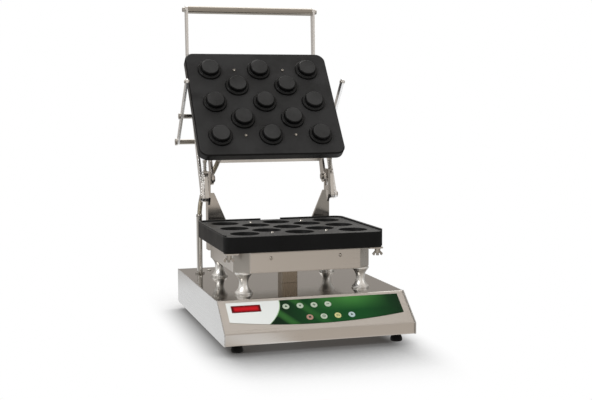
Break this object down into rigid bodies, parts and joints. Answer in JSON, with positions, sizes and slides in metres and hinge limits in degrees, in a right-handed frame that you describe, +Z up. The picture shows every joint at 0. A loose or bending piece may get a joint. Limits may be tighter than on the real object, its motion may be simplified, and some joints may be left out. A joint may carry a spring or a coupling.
{
  "type": "tartlet shell press",
  "caption": "Countertop press that bakes round pastry shells between a heated cup mould and a hinged punch plate worked by a handle lever.",
  "frame": {"origin": "middle of the whole machine's footprint, on the surface that its feet stand on", "axes": "+Z up, +Y to the back with the control front facing -Y, +X to the operator's right"},
  "size_m": [0.4, 0.5813, 0.7198],
  "materials": {
    "polished_steel": "bright polished stainless sheet",
    "stainless_steel": "brushed stainless sheet",
    "turned_steel": "turned and polished stainless bar",
    "plated_steel": "bright plated steel",
    "spring_wire": "drawn spring wire",
    "coated_plate": "cast aluminium with black non-stick coating",
    "heater_sheath": "oxidised steel sheath",
    "foot_rubber": "black moulded rubber",
    "overlay_print": "printed polyester film",
    "display_lens": "dark red display filter",
    "circuit_board": "glass-fibre circuit board",
    "relay_case": "moulded case",
    "gland_plastic": "black nylon",
    "hose_braid": "heat-proof woven sleeve",
    "key_white": "embossed key, pale",
    "key_red": "embossed key, red",
    "key_yellow": "embossed key, yellow",
    "key_blue": "embossed key, blue"
  },
  "bodies": {
    "base": {"base_shell": "polished_steel", "side_panel_left": "stainless_steel", "side_panel_right": "stainless_steel", "rear_panel": "stainless_steel", "bottom_plate": "stainless_steel", "rubber_feet": "foot_rubber", "foot_studs": "plated_steel", "control_overlay": "overlay_print", "display_window": "display_lens", "control_board": "circuit_board", "relay_block": "relay_case", "cable_gland": "gland_plastic", "turned_legs": "turned_steel", "lower_casing": "stainless_steel", "front_panel": "stainless_steel", "panel_screws": "plated_steel", "lower_heater": "heater_sheath", "mould_plate": "coated_plate", "mould_screws": "plated_steel", "wiring_duct": "stainless_steel", "conduit_tube": "turned_steel", "conduit_nut": "plated_steel", "clamp_studs": "plated_steel", "hinge_post_left": "stainless_steel", "hinge_post_right": "stainless_steel", "lift_springs": "spring_wire"},
    "carriage": {"hinge_block_left": "turned_steel", "hinge_block_right": "turned_steel", "hinge_pins": "plated_steel", "lever_pins": "plated_steel", "guide_bolts": "plated_steel", "conduit_hose": "hose_braid"},
    "head": {"punch_plate": "coated_plate", "punch_screws": "plated_steel", "upper_casing": "stainless_steel", "upper_heater": "heater_sheath", "hinge_arm_left": "stainless_steel", "hinge_arm_right": "stainless_steel", "press_brackets": "stainless_steel", "press_rod": "turned_steel"},
    "lever": {"handle_arm_left": "stainless_steel", "handle_arm_right": "stainless_steel", "handle_tube": "turned_steel", "handle_bolts": "plated_steel", "link_bolts": "plated_steel"},
    "links": {"link_bar_left": "stainless_steel", "link_bar_right": "stainless_steel", "link_end_bolts": "plated_steel"},
    "wing_nut_left": {"wing_nut_left": "plated_steel"},
    "wing_nut_right": {"wing_nut_right": "plated_steel"},
    "key_1": {"key_1": "key_white"},
    "key_2": {"key_2": "key_white"},
    "key_3": {"key_3": "key_white"},
    "key_4": {"key_4": "key_white"},
    "key_5": {"key_5": "key_red"},
    "key_6": {"key_6": "key_white"},
    "key_7": {"key_7": "key_yellow"},
    "key_8": {"key_8": "key_blue"}
  },
  "joints": [
    {"name": "hinge_lift", "type": "slide", "parent": "base", "child": "carriage", "axis": [0, 0, 1], "range_m": [-0.013, 0], "stiffness_N_per_m": 2500, "springref_m": 0.08, "deforming": ["lift_springs"]},
    {"name": "head_hinge", "type": "hinge", "parent": "carriage", "child": "head", "pos_m": [0, 0.12035, 0.314], "axis": [1, 0, 0], "range_deg": [0, 127], "deforming": ["conduit_hose"]},
    {"name": "lever_pivot", "type": "hinge", "parent": "carriage", "child": "lever", "pos_m": [0, 0.10975, 0.272], "axis": [1, 0, 0], "range_deg": [0, 102.21]},
    {"name": "link_pivot", "type": "hinge", "parent": "lever", "child": "links", "pos_m": [0, 0.20372, 0.45644], "axis": [1, 0, 0], "range_deg": [-15.31, 0]},
    {"name": "key_1_press", "type": "slide", "parent": "base", "child": "key_1", "axis": [0, 0.6163, -0.7875], "range_m": [0, 0.0006], "stiffness_N_per_m": 900},
    {"name": "key_2_press", "type": "slide", "parent": "base", "child": "key_2", "axis": [0, 0.6163, -0.7875], "range_m": [0, 0.0006], "stiffness_N_per_m": 900},
    {"name": "key_3_press", "type": "slide", "parent": "base", "child": "key_3", "axis": [0, 0.6163, -0.7875], "range_m": [0, 0.0006], "stiffness_N_per_m": 900},
    {"name": "key_4_press", "type": "slide", "parent": "base", "child": "key_4", "axis": [0, 0.6163, -0.7875], "range_m": [0, 0.0006], "stiffness_N_per_m": 900},
    {"name": "key_5_press", "type": "slide", "parent": "base", "child": "key_5", "axis": [0, 0.6163, -0.7875], "range_m": [0, 0.0006], "stiffness_N_per_m": 900},
    {"name": "key_6_press", "type": "slide", "parent": "base", "child": "key_6", "axis": [0, 0.6163, -0.7875], "range_m": [0, 0.0006], "stiffness_N_per_m": 900},
    {"name": "key_7_press", "type": "slide", "parent": "base", "child": "key_7", "axis": [0, 0.6163, -0.7875], "range_m": [0, 0.0006], "stiffness_N_per_m": 900},
    {"name": "key_8_press", "type": "slide", "parent": "base", "child": "key_8", "axis": [0, 0.6163, -0.7875], "range_m": [0, 0.0006], "stiffness_N_per_m": 900},
    {"name": "wing_nut_left_spin", "type": "hinge", "parent": "base", "child": "wing_nut_left", "pos_m": [-0.162, -0.16765, 0.1741], "axis": [0, 0, 1], "continuous": true},
    {"name": "wing_nut_right_spin", "type": "hinge", "parent": "base", "child": "wing_nut_right", "pos_m": [0.162, -0.16765, 0.1741], "axis": [0, 0, 1], "continuous": true}
  ],
  "couplings": [
    {"joint": "lever_pivot", "follows": "head_hinge", "ratio": 0.80439},
    {"joint": "link_pivot", "follows": "head_hinge", "ratio": -0.12017}
  ]
}
